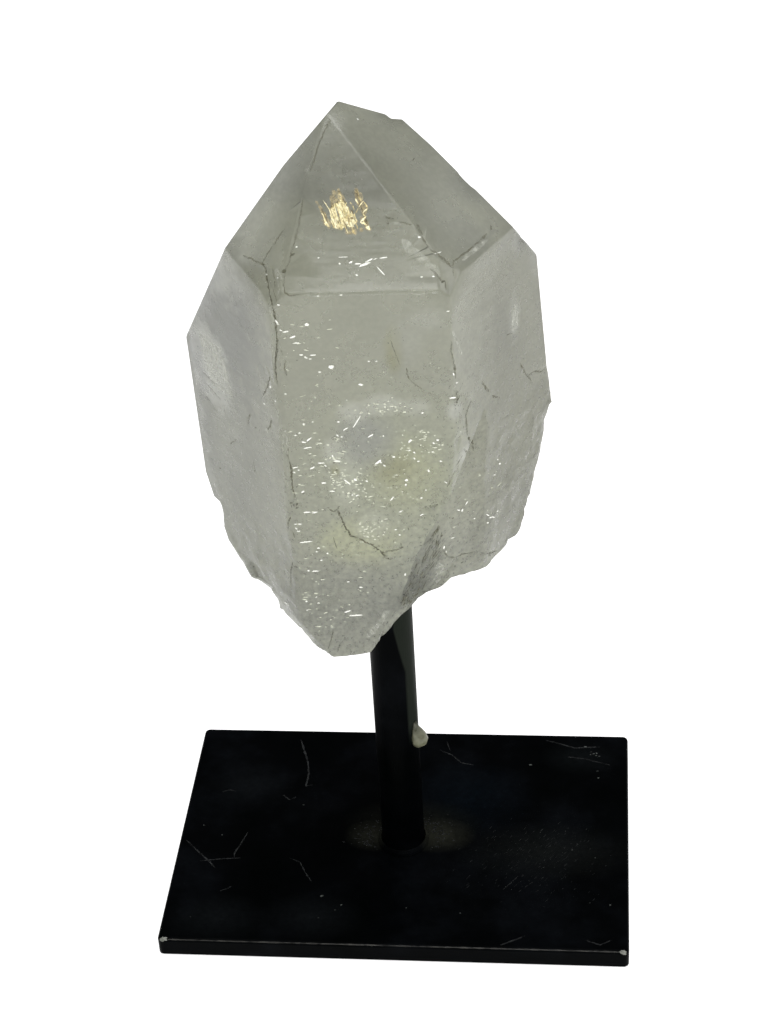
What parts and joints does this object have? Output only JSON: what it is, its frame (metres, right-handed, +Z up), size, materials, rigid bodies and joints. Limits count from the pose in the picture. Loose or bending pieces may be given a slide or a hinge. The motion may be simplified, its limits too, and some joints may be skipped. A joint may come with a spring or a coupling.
{
  "type": "quartz crystal on stand",
  "caption": "Natural quartz point with a six-sided prism, pointed tip and broken lower end, held up by a round rod on a flat rectangular base plate.",
  "frame": {"origin": "middle of the base plate's underside, on the table", "axes": "+Z up along the rod and the crystal's long axis; -Y is the front, the way the crystal's broadest prism face looks; +X to the right seen from the front"},
  "size_m": [0.102, 0.07, 0.1863],
  "materials": {
    "quartz": "clear to cloudy natural quartz, glossy faces and a rough broken lower end",
    "painted_steel": "satin black paint with fine scratches",
    "glue": "hardened clear glue, slightly cloudy"
  },
  "bodies": {
    "root": {"crystal": "quartz", "rod": "painted_steel", "base_plate": "painted_steel", "weld_bead": "painted_steel", "glue_drip": "glue"}
  },
  "joints": []
}
